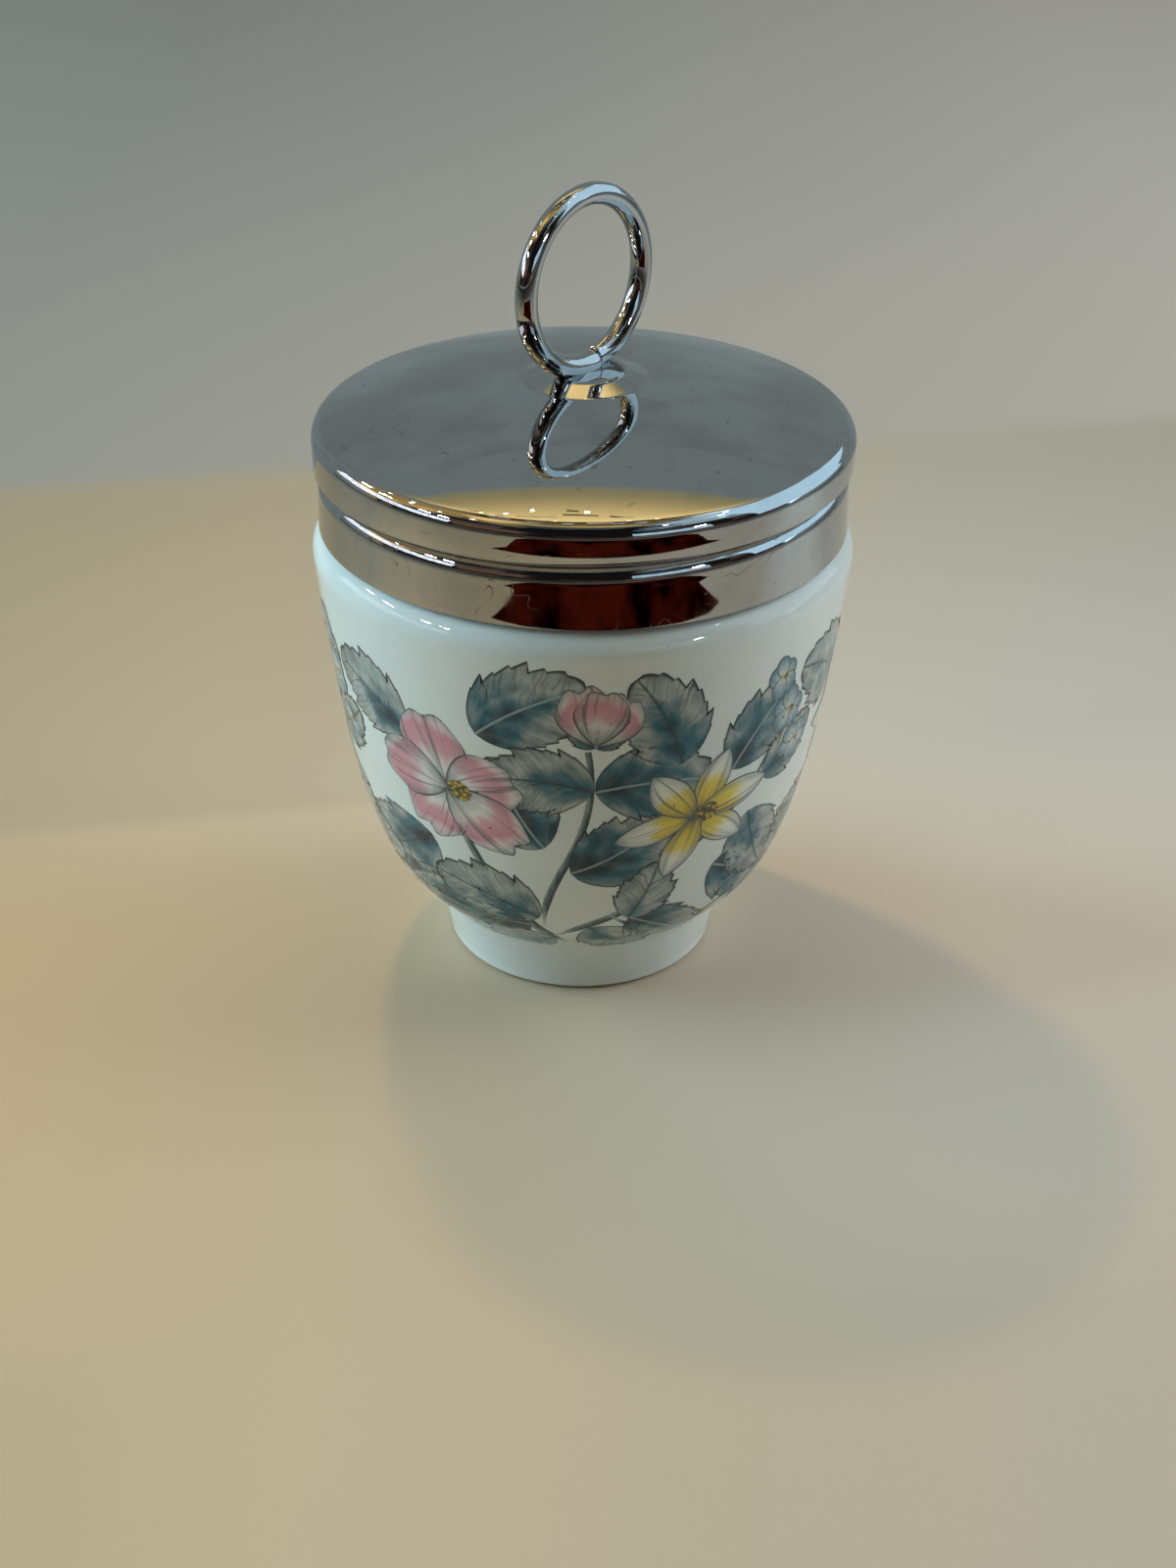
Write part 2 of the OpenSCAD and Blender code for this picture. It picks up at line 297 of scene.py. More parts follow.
# generic sprays of leaves and flowers, printed over the glaze
transfer = {
    "facing": 221.1,  # the first spray's middle is turned to the camera
    "turns": (0, 118, 239), "seed": 11,
    "stemLift": 0.012, "leafLift": 0.016, "petalLift": 0.040, "liftStep": 0.0012, "sink": 0.02,
    "leafLayers": 24, "petalLayers": 16, "centreSize": 0.30,
    "leafWidth": 0.64,  # of its length
    "stemReach": 25.0, "mmADegree": 28.0 * math.radians(1),  # near enough for a stem's own curve
    # each is turned and height of start, two handles and end (degrees, mm up the belly), widths at both ends
    "stems": [
        ((-4, 3.0), (-12, 9), (-22, 15), (-32, 27), 1.6, 1.0),
        ((-8, 6.0), (6, 13), (22, 12), (27, 25), 1.4, 0.9),
        ((-10, 9), (-10, 20), (7, 25), (3, 39), 1.1, 0.8),
        ((8, 12), (18, 5), (30, 12), (39, 5), 0.9, 0.7),
        ((24, 21), (36, 26), (46, 28), (51, 37), 0.8, 0.5),
        ((-21, 18), (-34, 13), (-45, 18), (-56, 12), 0.8, 0.5),
    ],
    # turn and height of its base, way it points, length, bend, and how pale it is
    "leaves": [
        (-38, 22, 222, 17.0, -0.030, 0.3), (-40, 37, 148, 15.0, 0.030, 0.5), (-23, 40, 50, 15.0, -0.030, 0.1),
        (-50, 15, 250, 12.0, 0.030, 0.7), (-56, 12, 165, 12.0, -0.040, 0.4),
        (-13, 9, 186, 19.0, -0.020, 0.0), (-11, 11, 146, 15.0, 0.030, 0.6), (-8, 5, 212, 12.0, -0.030, 0.8),
        (-3, 20, 20, 15.0, 0.030, 0.0), (-8, 24, 132, 14.0, -0.030, 0.2), (2, 33, 160, 13.0, 0.050, 0.7),
        (4, 33, 18, 14.5, -0.035, 0.15), (2, 9, 300, 12.0, 0.030, 0.5), (13, 11, 330, 14.0, -0.030, 0.1),
        (12, 11, 60, 11.0, 0.030, 0.8), (36, 18, 335, 16.0, 0.020, 0.2), (22, 36, 105, 15.0, 0.030, 0.35),
        (36, 33, 60, 14.0, -0.035, 0.05), (44, 25, 290, 13.0, 0.030, 0.6), (46, 30, 20, 11.0, 0.030, 0.5),
    ],
    # kind, turn, height, petal length, first petal's way, how flat it is seen, and along which way
    "flowers": [
        ("rose", -31, 31.0, 11.5, 100, 0.84, 60), ("star", 27, 27.5, 11.0, 75, 0.88, 120),
        ("rosebud", 3, 40.0, 8.5, 84, 1.0, 0), ("starbud", 39, 4.5, 7.0, 12, 1.0, 0),
        ("tiny", 51, 38.5, 3.6, 10, 0.9, 40), ("tiny", 56, 33.0, 3.3, 50, 0.85, 90),
        ("tiny", 47, 44.0, 3.2, 30, 0.85, 10), ("tiny", -57, 9, 3.2, 20, 0.9, 60),
    ],
}
bellyPoints = bellyProfile()
bellyArcs = [0.0]
for before, after in zip(bellyPoints, bellyPoints[1:]):
    bellyArcs.append(bellyArcs[-1] + (after - before).length)


def onBelly(turn, arc, across, lift):  # a point of the glaze, this far up it, turned, then to the right
    arc = min(max(arc, 0.4), bellyArcs[-6])  # between the foot and the shoulder's turn
    i = bisect.bisect(bellyArcs, arc)
    low, high = bellyPoints[i - 1], bellyPoints[i]
    spot = low.lerp(high, (arc - bellyArcs[i - 1]) / (bellyArcs[i] - bellyArcs[i - 1]))
    angle = math.radians(turn) + across / spot[0]
    along = (high - low).normalized()
    spot = spot + Vector((along[1], -along[0])) * lift
    return Vector((spot[0] * math.cos(angle), spot[0] * math.sin(angle), spot[1])) * mm


def leafOutline(length, columns):  # ovate, with teeth that point to the tip
    def outline(u, v):
        half = transfer["leafWidth"] * length * 1.337 * u**0.6 * (1 - u) ** 0.85  # 1.337 makes it 1 wide
        fullness = min(1, 2.6 * u**0.6 * (1 - u) ** 0.5)
        saw = (round(u * columns) % 5) / 5 * fullness
        lobe = (round(u * columns) % 15) / 15 * fullness
        tooth = abs(v) ** 3 * (0.032 * saw + 0.055 * lobe) * length
        across = v * half + math.copysign(tooth, v)
        return (length * u + tooth * 0.8, across), (length * u, v * half, (1 - abs(v)) * half)
    return outline


def rosePetalOutline(length, ruffle):  # broad, with a notch in its end
    def outline(u, v):
        half = 0.46 * length * (0.10 + 0.90 * math.sin(math.pi / 2 * u ** 0.85))
        reach = 1 - 0.36 * abs(v) ** 2.6 - 0.10 * math.exp(-(v / 0.25) ** 2) * u**3
        reach += 0.022 * math.sin(8 * v + ruffle) * u**2
        x = length * u * reach
        y = v * half * (1 - 0.12 * u**4)
        return (x, y), (x, y, min((1 - abs(v)) * half, (1 - u) * length))
    return outline


def starPetalOutline(length, ruffle):  # long, and pointed at its end
    def outline(u, v):
        half = 0.235 * length * math.sin(math.pi * (0.06 + 0.94 * u) ** 1.15) ** 0.75
        y = v * half + 0.02 * length * math.sin(3 * u + ruffle)
        return (length * u, y), (length * u, y, (1 - abs(v)) * half)
    return outline


def roundPetalOutline(length, ruffle):
    def outline(u, v):
        half = 0.48 * length * max(0, math.sin(math.pi * (0.05 + 0.95 * u) ** 1.2)) ** 0.5
        return (length * u, v * half), (length * u, v * half, (1 - abs(v)) * half)
    return outline


def stemOutline(handles, widths, reach):
    def outline(u, v):
        s = 1 - u
        spot = bezierAt(handles, u)
        way = 3 * s * s * (handles[1] - handles[0]) + 6 * s * u * (handles[2] - handles[1])
        way = (way + 3 * u * u * (handles[3] - handles[2])).normalized()
        half = (widths[0] + (widths[1] - widths[0]) * u) / 2 * min(1, 0.25 + u * 4)
        side = v * half
        return (spot[0] - way[1] * side, spot[1] + way[0] * side), (u * reach, side, (1 - abs(v)) * half)
    return outline


def layPatch(bm, outline, columns, rows, turn, arc, turned, lift, tone, ink):
    drawn, share = bm.verts.layers.float_vector["drawn"], bm.verts.layers.float_vector["share"]
    made = bmesh.ops.create_grid(bm, x_segments=columns, y_segments=rows, size=1)
    for vert in made["verts"]:
        u, v = (vert.co.x + 1) / 2, vert.co.y
        place, vert[drawn] = outline(min(1, max(0, u)), v)
        vert[share] = (u, v, tone)
        across, up = turned @ Vector(place)
        vert.co = onBelly(turn, arc + up, across, lift)
    for face in {face for vert in made["verts"] for face in vert.link_faces}:
        face.material_index = ink
    bmesh.ops.remove_doubles(bm, verts=made["verts"], dist=0.002 * mm)


def newFilm():
    bm = bmesh.new()
    bm.verts.layers.float_vector.new("drawn")  # mm along, mm across and mm from the edge
    bm.verts.layers.float_vector.new("share")  # share along, share across and a tone of its own
    return bm


def bent(outline, bend):  # curls a motif's own axis to an arc
    def curled(u, v):
        (x, y), drawn = outline(u, v)
        across, up = math.sin(bend * x), math.cos(bend * x)
        return (across / bend - y * across, (1 - up) / bend + y * up), drawn
    return curled


def finishFilm(bm, name, inks, lift):
    for edge in bm.edges:
        edge.smooth = not edge.is_boundary
    piece = finishMesh(bm, name, inks)
    film = piece.modifiers.new("film", "SOLIDIFY")
    film.thickness = (lift + transfer["sink"]) * mm
    film.offset = -1
    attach(piece, "cup")


def inkSurface(tree, colour):  # fired on over the glaze, so a little less glossy than it
    finishMaterial(tree, {"Base Color": colour, "Roughness": 0.14, "IOR": 1.5,
                          "Subsurface Weight": 0.06, "Subsurface Scale": 1.0 * mm})


def readMotif(tree):  # what layPatch wrote: mm along, across and from the edge, both shares and the tone
    motif = []
    for name in ("drawn", "share"):
        written = addNode(tree, "Attribute", attribute_name=name).outputs["Vector"]
        motif += addNode(tree, "SeparateXYZ", {0: written}).outputs
    return motif


def inkNoise(tree, across, along, tone, acrossScale, alongScale, detail=2.0):  # brush strokes along the motif
    scaled = [addNode(tree, "Math", {0: source, 1: scale}, operation="MULTIPLY")
              for source, scale in ((across, acrossScale), (along, alongScale), (tone, 37.0))]
    spot = addNode(tree, "CombineXYZ", dict(enumerate(scaled)))
    return addNode(tree, "TexNoise", {"Vector": spot, "Scale": 1.0, "Detail": detail})


def leafInk():
    # ceramic transfer print, teal washes that run out to grey, with pen-like veins and outline
    material, tree = newMaterial("transferLeafInk")
    along, across, edge, u, v, tone = readMotif(tree)
    side = addNode(tree, "Math", {0: across}, operation="ABSOLUTE")
    cloud = inkNoise(tree, across, along, tone, 0.32, 0.22)
    curl = addNode(tree, "Math", {0: side, 1: side}, operation="MULTIPLY")
    slant = along
    for source, share in ((side, -1.05), (curl, 0.05), (cloud, 3.4)):
        slant = addNode(tree, "Math", {0: source, 1: share, 2: slant}, operation="MULTIPLY_ADD")
    strokes = inkNoise(tree, slant, side, tone, 2.6, 0.35, 3.0)
    rim = addNode(tree, "Math", {0: v}, operation="ABSOLUTE")
    wet = -0.62
    for source, share in ((rim, 0.42), (u, 0.55), (cloud, 1.10), (tone, 0.40)):
        wet = addNode(tree, "Math", {0: source, 1: share, 2: wet}, operation="MULTIPLY_ADD")
    wash = addNode(tree, "ValToRGB", {0: wet}, stops=[
        (0.05, "#042634"), (0.22, "#0b485c"), (0.38, "#2c6c7d"), (0.52, "#7b8f94"), (0.72, "#b0b8b6"),
        (0.98, "#838e90")])
    vein = addNode(tree, "Math", {0: slant, 1: 1.8}, operation="PINGPONG")  # one every 3.6 mm
    light = addNode(tree, "MapRange", {0: vein, 1: 0.50, 2: 1.75, 3: 0.0, 4: 0.07})
    shade = addNode(tree, "MapRange", {0: strokes, 1: 0.50, 2: 0.70, 3: 0.0, 4: 0.55})
    veinFade = addNode(tree, "MapRange", {0: strokes, 1: 0.35, 2: 0.60, 3: 0.25, 4: 0.75})
    veinLine = addNode(tree, "MapRange", {0: vein, 1: 0.02, 2: 0.11, 3: 1.0, 4: 0.0})
    veinLine = addNode(tree, "Math", {0: veinLine, 1: veinFade}, operation="MULTIPLY")
    ribColour = addNode(tree, "ValToRGB", {0: tone}, stops=[(0.25, "#9db4b7"), (0.35, "#2a3d46")])
    rib = addNode(tree, "MapRange", {0: side, 1: 0.10, 2: 0.22, 3: 0.75, 4: 0.0})
    line = addNode(tree, "MapRange", {0: edge, 1: 0.10, 2: 0.34, 3: 0.95, 4: 0.0})
    inkSurface(tree, layOver(tree, wash, (light, "#dbe1e0"), (shade, "#1f3138"), (veinLine, "#263840"),
                             (rib, ribColour), (line, "#1d292f")))
    return material


def petalInk(name, strokeColour, strokeAmount, stops):
    # ceramic transfer print, thin washes over the white glaze with fine grey strokes from the base
    material, tree = newMaterial(name)
    edge, u, v, tone = readMotif(tree)[2:]
    cloud = inkNoise(tree, v, u, tone, 1.6, 1.6)
    strokes = inkNoise(tree, v, u, tone, 7.0, 0.8)
    spread = addNode(tree, "Math", {0: cloud, 1: 0.5, 2: -0.25}, operation="MULTIPLY_ADD")
    spread = addNode(tree, "Math", {0: u, 1: spread}, operation="ADD")
    wash = addNode(tree, "ValToRGB", {0: spread}, stops=stops)
    rim = addNode(tree, "MapRange", {0: edge, 1: 0.2, 2: 1.7, 3: 0.95, 4: 0.0})
    rim = addNode(tree, "Math", {0: rim, 1: strokes}, operation="MULTIPLY")
    shade = addNode(tree, "MapRange", {0: strokes, 1: 0.54, 2: 0.66, 3: 0.0, 4: strokeAmount})
    line = addNode(tree, "MapRange", {0: edge, 1: 0.10, 2: 0.28, 3: 0.90, 4: 0.0})
    inkSurface(tree, layOver(tree, wash, (rim, "#66757a"), (shade, strokeColour), (line, "#414c53")))
    return material


def centreInk():
    # ceramic transfer print, ochre dots close together
    material, tree = newMaterial("transferCentreInk")
    place = addNode(tree, "TexCoord").outputs["Object"]
    dots = addNode(tree, "TexVoronoi", {"Vector": place, "Scale": 1700.0})  # 0.6 mm dots
    inkSurface(tree, addNode(tree, "ValToRGB", {0: dots}, stops=[
        (0.15, "#d6bb55"), (0.4, "#a58f47"), (0.6, "#55523a")]))
    return material


def stemInk():
    # ceramic transfer print, a round stem shaded from one side
    material, tree = newMaterial("transferStemInk")
    motif = readMotif(tree)
    along, u, v, tone = motif[0], *motif[3:]
    strokes = inkNoise(tree, v, along, tone, 1.5, 0.5)
    shaded = addNode(tree, "Math", {0: v, 1: 0.35, 2: strokes}, operation="MULTIPLY_ADD")
    colour = addNode(tree, "ValToRGB", {0: shaded}, stops=[
        (0.2, "#33464e"), (0.5, "#56696f"), (0.8, "#94a1a2")])
    fade = addNode(tree, "MapRange", {0: u, 1: 0.0, 2: 0.12, 3: 0.9, 4: 0.0})
    inkSurface(tree, layOver(tree, colour, (fade, "#dfe6e5")))
    return material


petalKinds = {  # outline, ways that the petals point, in the order they are laid, and ink
    "rose": (rosePetalOutline, (0, 144, 288, 72, 216), 0),
    "star": (starPetalOutline, (0, 120, 240, 60, 180, 300), 1),
    "tiny": (roundPetalOutline, (0, 144, 288, 72, 216), 2),
    "rosebud": (rosePetalOutline, (-24, 24, 0), 0),
    "starbud": (starPetalOutline, (-26, 26, 0), 1),
}
leafCount, petalCount = 0, 0


def layLeaf(bm, turn, arc, way, length, bend, tone):
    global leafCount
    lift = transfer["leafLift"] + transfer["liftStep"] * (leafCount % transfer["leafLayers"])
    leafCount += 1
    columns = 45
    outline = bent(leafOutline(length, columns), bend)
    layPatch(bm, outline, columns, 8, turn, arc, Matrix.Rotation(math.radians(way), 2), lift, tone, 0)


def layFlower(bm, pen, kind, turn, arc, size, first, flat, flatWay):
    global petalCount
    t = transfer
    petalOutline, ways, ink = petalKinds[kind]
    flatWay = math.radians(flatWay)
    pressed = Matrix.Scale(flat, 2, Vector((math.cos(flatWay), math.sin(flatWay))))
    for way in ways:
        lift = t["petalLift"] + t["liftStep"] * (petalCount % t["petalLayers"])
        petalCount += 1
        length = size * pen.uniform(0.92, 1.06)
        turned = pressed @ Matrix.Rotation(math.radians(first + way + pen.uniform(-6, 6)), 2)
        outline = petalOutline(length, pen.uniform(0, 6))
        layPatch(bm, outline, 16, 12, turn, arc, turned, lift, pen.random(), ink)
    if not kind.endswith("bud"):
        outline = roundPetalOutline(size * t["centreSize"], 0)
        lift = t["petalLift"] + t["liftStep"] * (t["petalLayers"] + 1)
        layPatch(bm, outline, 8, 8, turn, arc, pressed, lift, 0.5, 3)


def makeTransfer():
    t = transfer
    pen = random.Random(t["seed"])
    stems, leaves, petals = newFilm(), newFilm(), newFilm()
    for spray, turned in enumerate(t["turns"]):
        middle = t["facing"] + turned
        for p0, p1, p2, p3, startWidth, endWidth in t["stems"]:
            handles = [Vector(((p[0] - p0[0]) * t["mmADegree"], p[1] - p0[1])) for p in (p0, p1, p2, p3)]
            outline = stemOutline(handles, (startWidth, endWidth), t["stemReach"])
            layPatch(stems, outline, 30, 3, middle + p0[0], p0[1], Matrix.Identity(2),
                     t["stemLift"], pen.random(), 0)
        for turn, arc, way, length, bend, pale in t["leaves"]:
            layLeaf(leaves, middle + turn + pen.uniform(-1, 1), arc, way + pen.uniform(-7, 7),
                    length * pen.uniform(0.95, 1.06), bend, pale + pen.uniform(-0.05, 0.15))
        for kind, turn, arc, size, first, flat, flatWay in t["flowers"]:
            first += 20 * spray
            if spray == 1:
                kind = {"rose": "star", "star": "rose"}.get(kind, kind)
            layFlower(petals, pen, kind, middle + turn, arc, size, first, flat, flatWay)
            if kind.endswith("bud"):
                for way in (-40, 40, 0):  # its sepals
                    layLeaf(leaves, middle + turn, arc - 0.06 * size, first + way, size * 0.62, 0.01, 0.1)
    finishFilm(stems, "transferStems", [stemInk()], t["stemLift"])
    finishFilm(leaves, "transferLeaves", [leafInk()], t["leafLift"] + t["leafLayers"] * t["liftStep"])
    finishFilm(petals, "transferFlowers", [
        petalInk("transferPinkInk", "#56646a", 0.68, [
            (0.0, "#59625f"), (0.12, "#b9bcb8"), (0.34, "#e6dfdd"), (0.52, "#dba6b1"), (0.76, "#d493a1"),
            (0.92, "#e6cfd3"), (1.0, "#d3d6d4")]),
        petalInk("transferYellowInk", "#4d5a5f", 0.66, [
            (0.0, "#4f5140"), (0.10, "#b59a3a"), (0.26, "#e2c648"), (0.46, "#ead35f"), (0.60, "#edeadb"),
            (0.84, "#e4e8e6"), (1.0, "#a7b0b2")]),
        petalInk("transferBlueInk", "#3f6172", 0.45, [
            (0.0, "#d9c873"), (0.16, "#e3e6dc"), (0.4, "#b9cbd2"), (0.8, "#6f97aa"), (1.0, "#4e788c")]),
        centreInk()], t["petalLift"] + (t["petalLayers"] + 2) * t["liftStep"])


makeTransfer()
print("floral transfer made")


# lid, one pressed sheet
lid = {
    "sheet": 0.5, "bandR": 32.9, "lowBandR": 32.4, "edgeR": 32.55, "cornerR": 2.0, "cornerFrom": 72,
    "crownR": 100.0, "crownZ": padZ - 0.44 - 4.597,  # under the solids' pad and the crown's rise
    "padR": 8.1, "padFoot": 0.8, "padTopR": 4.4, "padRound": 1.1, "padSlope": 0.395,
    "grooveZ": 65.8, "grooveStart": 71, "grooveTurns": 0.84, "pitch": 2.6, "runOut": 22,
    "lipUp": 0.80, "lipIn": 0.35, "lipCurl": 0.05, "grooveDepth": 1.5,
    "shoulderDown": 1.95, "shoulderUp": 0.0, "slideAbove": (3.9, 1.4), "slideBelow": (-7.1, -3.0),
    "rowsAbove": [3.3, 2.6, 1.9, 1.4, 1.1, 0.92, 0.84],
    "rowsBelow": [-2.3, -2.7, -3.1, -3.6, -4.2, -4.8, -5.4, -6.0, -6.6],
    "steps": 288,
}
grooveMidZ = lid["grooveZ"] + lid["pitch"] * lid["grooveTurns"] / 2


def grooveInset(up):  # how deep the rolled groove is at a height over its middle line
    g = lid
    if up >= g["lipUp"] or up <= -g["shoulderDown"]:
        return 0.0
    if up > g["lipIn"]:  # steep under the lip
        return g["grooveDepth"] * math.sqrt(1 - ((up - g["lipIn"]) / (g["lipUp"] - g["lipIn"])) ** 2)
    if up > g["shoulderUp"]:
        return g["grooveDepth"]
    down = (g["shoulderUp"] - up) / (g["shoulderUp"] + g["shoulderDown"])  # round shoulder under it
    return g["grooveDepth"] * (1 - math.sqrt(max(0, 1 - (1 - down) ** 2)))


def crownHeight(radius):
    edge = lid["bandR"] - lid["cornerR"]
    rise = math.sqrt(lid["crownR"] ** 2 - radius**2) - math.sqrt(lid["crownR"] ** 2 - edge**2)
    return lid["crownZ"] + rise


def padProfile():  # the raised pad that the ring is welded to, from its middle to the crown
    g = lid
    made = [Vector((g["padR"], crownHeight(g["padR"])))]
    step = 0.11
    while made[0][0] > step:
        radius = made[0][0] - step
        foot = smooth(g["padR"] - g["padFoot"], g["padR"], radius)
        flank = smooth(g["padTopR"], g["padTopR"] + g["padRound"], radius) * (1 - foot)
        slope = g["padSlope"] * flank + radius / g["crownR"] * foot
        made.insert(0, Vector((radius, made[0][1] + slope * step)))
    top = made[0][1]
    return [Vector((0, top)), Vector((1.5, top))] + [p for p in made if p[0] > g["padTopR"] - 0.3]


def lidProfile():  # outer face, from the middle of the pad to the lower edge
    g = lid
    edge = g["bandR"] - g["cornerR"]
    crownEnd = edge + g["cornerR"] * math.cos(math.radians(g["cornerFrom"]))
    cornerZ = crownHeight(crownEnd) - g["cornerR"] * math.sin(math.radians(g["cornerFrom"]))
    pad = padProfile()
    crownRadii = [g["padR"] + 0.25, g["padR"] + 0.6]
    crownRadii += [g["padR"] + 1.1 + (crownEnd - g["padR"] - 1.1) * i / 44 for i in range(45)]
    crown = [Vector((radius, crownHeight(radius))) for radius in crownRadii]
    corner = arcPoints((edge, cornerZ), g["cornerR"], g["cornerFrom"], 0, 18)
    ups = g["rowsAbove"] + [g["lipUp"]]
    ups += [g["lipIn"] + (g["lipUp"] - g["lipIn"]) * math.cos(math.pi / 2 * i / 8) for i in range(1, 9)]
    ups += [0.24, 0.12, g["shoulderUp"]]
    ups += [g["shoulderUp"] - (g["shoulderDown"] + g["shoulderUp"]) * (1 - math.cos(math.pi / 2 * i / 14))
            for i in range(1, 15)]
    ups += g["rowsBelow"] + [edgeZ - grooveMidZ + 0.15, edgeZ - grooveMidZ]
    band = [Vector((bandRadius(up), grooveMidZ + up)) for up in ups]
    return pad + crown + corner + band


def bandRadius(up):  # the skirt's plain radius over and under the groove
    g = lid
    low = g["lowBandR"] + (g["edgeR"] - g["lowBandR"]) * min(1, max(0, (-up - 2.2) / 5))
    curl = g["lipCurl"] * smooth(g["lipUp"] + 1.3, g["lipUp"], up)
    return g["bandR"] - curl + (low - g["bandR"]) * smooth(g["lipIn"], -0.1, up)


def rollGroove(bm):  # presses the groove in along its helix, with the sheet's rows sliding to follow it
    g = lid
    span = g["grooveTurns"] * 360
    for vert in bm.verts:
        radius = math.hypot(vert.co.x, vert.co.y) / mm
        height = vert.co.z / mm
        if radius < g["lowBandR"] - 0.3 or height > g["crownZ"] - g["cornerR"] + 0.01:
            continue
        around = (math.degrees(math.atan2(vert.co.y, vert.co.x)) - g["grooveStart"]) % 360
        if around <= span:
            slide = g["pitch"] * (around / 360 - g["grooveTurns"] / 2)
            depth = smooth(0, g["runOut"], around) * smooth(0, g["runOut"], span - around)
        else:
            back = smooth(span, 360, around)
            slide = g["pitch"] * g["grooveTurns"] * (0.5 - back)
            depth = 0.0
        up = height - grooveMidZ
        follow = smooth(*g["slideAbove"], up) * smooth(*g["slideBelow"], up)
        vert.co.z += slide * follow * mm
        vert.co.xy *= (radius - grooveInset(up) * depth) / radius


def mirrorSteel(name, stain):
    # pressed stainless steel, buffed to a mirror: grey reflections, hairline scratches, dried water spots
    material, tree = newMaterial(name)
    place = addNode(tree, "TexCoord").outputs["Object"]
    drift = addNode(tree, "TexNoise", {"Vector": place, "Scale": 260.0, "Detail": 2.0}).outputs["Color"]
    warped = addNode(tree, "Mix", {0: 0.0022, 4: place, 5: drift}, data_type="VECTOR").outputs[1]
    drops = addNode(tree, "TexVoronoi", {"Vector": warped, "Scale": 80.0, "Randomness": 1.0})  # 12 mm apart
    ringMask = addNode(tree, "ValToRGB", {0: drops}, stops=[
        (0.0, 0.45), (0.075, 0.30), (0.10, 1.0), (0.13, 0.0)])
    pick = addNode(tree, "SeparateColor", {0: drops.outputs["Color"]})
    some = addNode(tree, "MapRange", {0: pick, 1: 0.66, 2: 0.85})  # only some drops left a mark
    spots = addNode(tree, "Math", {0: ringMask, 1: some}, operation="MULTIPLY")
    haze = addNode(tree, "TexNoise", {"Vector": place, "Scale": 200.0, "Detail": 5.0, "Roughness": 0.6})
    hazeMask = addNode(tree, "MapRange", {0: haze, 1: 0.52, 2: 0.78, 3: 0.0, 4: 0.40})
    dirt = addNode(tree, "Math", {0: spots, 1: hazeMask}, operation="ADD", use_clamp=True)
    dirt = addNode(tree, "Math", {0: dirt, 1: stain}, operation="MULTIPLY")
    squeezed = addNode(tree, "Mapping", {
        "Vector": warped, "Rotation": (0.3, 0.5, 0.4), "Scale": (1.0, 1.0, 7.0)})
    scratch = addNode(tree, "TexNoise", {"Vector": squeezed, "Scale": 420.0, "Detail": 4.0})
    scuff = addNode(tree, "MapRange", {0: scratch, 1: 0.66, 2: 0.72, 3: 0.0, 4: stain})
    trail = addNode(tree, "TexNoise", {"Vector": place, "Scale": 420.0, "Detail": 0.5})  # 2 mm curls
    curl = addNode(tree, "Math", {0: trail, 1: 0.5, 2: 0.010}, operation="COMPARE")
    where = addNode(tree, "TexNoise", {"Vector": place, "Scale": 130.0, "Detail": 0.0})
    rare = addNode(tree, "MapRange", {0: where, 1: 0.62, 2: 0.68, 3: 0.0, 4: stain * 1.5})
    height = addNode(tree, "SeparateXYZ", {0: place}).outputs["Z"]
    skirt = addNode(tree, "MapRange", {0: height, 1: 65.5 * mm, 2: 66 * mm, 3: 1.0, 4: 0.0})
    for limit in (skirt, rare):
        curl = addNode(tree, "Math", {0: curl, 1: limit}, operation="MULTIPLY")
    worn = dirt
    for mark in (scuff, curl):
        worn = addNode(tree, "Math", {0: worn, 1: mark}, operation="MAXIMUM")
    colour = layOver(tree, "#b9baba", (worn, "#6f7070"))
    polish = addNode(tree, "MapRange", {0: worn, 1: 0.0, 2: 1.0, 3: 0.02, 4: 0.25})
    wave = addNode(tree, "TexNoise", {"Vector": place, "Scale": 90.0, "Detail": 1.0})  # 11 mm pressing waves
    bump = addNode(tree, "Bump", {"Height": wave, "Strength": 0.08, "Distance": 0.03 * mm})
    finishMaterial(tree, {"Base Color": colour, "Metallic": 1.0, "Roughness": polish, "Normal": bump})
    return material


def makeLid():
    bm = spinProfile(lidProfile(), lid["steps"])
    if sum(face.normal.z for face in bm.faces) < 0:
        bmesh.ops.reverse_faces(bm, faces=bm.faces)
    rollGroove(bm)
    for edge in bm.edges:
        edge.smooth = not edge.is_boundary
    piece = finishMesh(bm, "lidShell", [mirrorSteel("mirrorPressedSteel", 0.55)])
    wall = piece.modifiers.new("sheet", "SOLIDIFY")
    wall.thickness = lid["sheet"] * mm
    wall.offset = -1
    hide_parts("lid_shell")
    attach(piece, "lid")


makeLid()
print("lid made")


# sealing ring, which keeps its CAD mesh
def mouldedRubber():
    # moulded food-grade rubber: near black, matt, with a fine sanded grain from its mould
    material, tree = newMaterial("mouldedRubber")
    place = addNode(tree, "TexCoord").outputs["Object"]
    grain = addNode(tree, "TexNoise", {"Vector": place, "Scale": 2500.0, "Detail": 2.0})  # 0.4 mm grain
    bloom = addNode(tree, "TexNoise", {"Vector": place, "Scale": 120.0, "Detail": 3.0})
    colour = addNode(tree, "ValToRGB", {0: bloom}, stops=[(0.35, "#201f1e"), (0.70, "#33312f")])
    rough = addNode(tree, "MapRange", {0: bloom, 1: 0.3, 2: 0.7, 3: 0.55, 4: 0.72})
    bump = addNode(tree, "Bump", {"Height": grain, "Strength": 0.4, "Distance": 0.03 * mm})
    finishMaterial(tree, {"Base Color": colour, "Roughness": rough, "Normal": bump, "IOR": 1.52})
    return material


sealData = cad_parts["sealing_ring"].data
sealData.materials.clear()
sealData.materials.append(mouldedRubber())
print("sealing ring finished")


